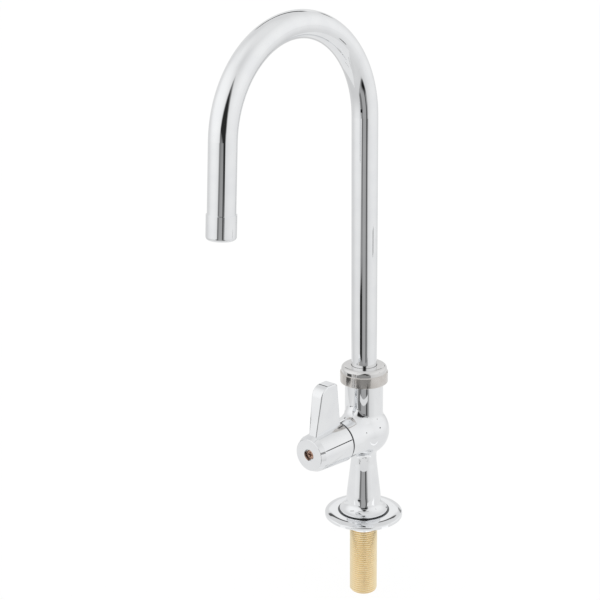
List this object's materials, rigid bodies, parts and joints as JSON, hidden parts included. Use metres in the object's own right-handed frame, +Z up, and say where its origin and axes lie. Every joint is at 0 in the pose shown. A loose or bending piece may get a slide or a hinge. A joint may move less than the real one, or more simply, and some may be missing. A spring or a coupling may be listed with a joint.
{
  "type": "deck-mounted faucet",
  "caption": "Deck-mounted faucet with a pedestal body, a side lever valve, a swivelling gooseneck spout and a threaded brass inlet shank.",
  "frame": {"origin": "middle of the deck flange's underside, on the deck plane", "axes": "+Z up along the post; the spout, the side arm and the handle point to -Y"},
  "size_m": [0.06, 0.1868, 0.4579],
  "materials": {
    "polished_chrome": "polished chrome plate on brass",
    "handle_chrome": "polished chrome plate on a zinc casting",
    "satin_nickel": "turned satin nickel",
    "raw_brass": "raw machined brass with a cut thread",
    "turned_brass": "turned brass",
    "coppery_screw": "dull copper-toned screw head",
    "stainless": "stainless steel",
    "black_rubber": "moulded rubber",
    "white_acetal": "moulded acetal",
    "alumina": "lapped alumina"
  },
  "bodies": {
    "faucet_base": {"body_casting": "polished_chrome", "deck_flange": "polished_chrome", "deck_gasket": "black_rubber", "threaded_shank": "raw_brass", "swivel_nut": "satin_nickel", "lower_glide_ring": "white_acetal", "upper_glide_ring": "white_acetal", "cartridge_body": "turned_brass", "cartridge_oring": "black_rubber", "seat_seal": "black_rubber", "fixed_disc": "alumina"},
    "handle": {"lever_handle": "handle_chrome", "handle_screw": "coppery_screw", "valve_stem": "turned_brass", "moving_disc": "alumina", "stem_oring_inner": "black_rubber", "stem_oring_outer": "black_rubber", "stem_washer": "white_acetal", "stop_washer": "stainless", "stem_clip": "stainless"},
    "spout": {"gooseneck_tube": "polished_chrome", "swivel_sleeve": "turned_brass", "swivel_oring_lower": "black_rubber", "swivel_oring_upper": "black_rubber", "outlet_housing": "polished_chrome", "outlet_bushing": "turned_brass", "outlet_washer": "black_rubber", "flow_disc": "white_acetal", "stream_insert": "white_acetal", "outlet_screen": "stainless"}
  },
  "joints": [
    {"name": "handle_turn", "type": "hinge", "parent": "faucet_base", "child": "handle", "pos_m": [0, -0.045, 0.071], "axis": [0, -1, 0], "range_deg": [0, 90]},
    {"name": "spout_swivel", "type": "hinge", "parent": "faucet_base", "child": "spout", "pos_m": [0, 0, 0.12], "axis": [0, 0, 1], "continuous": true}
  ]
}
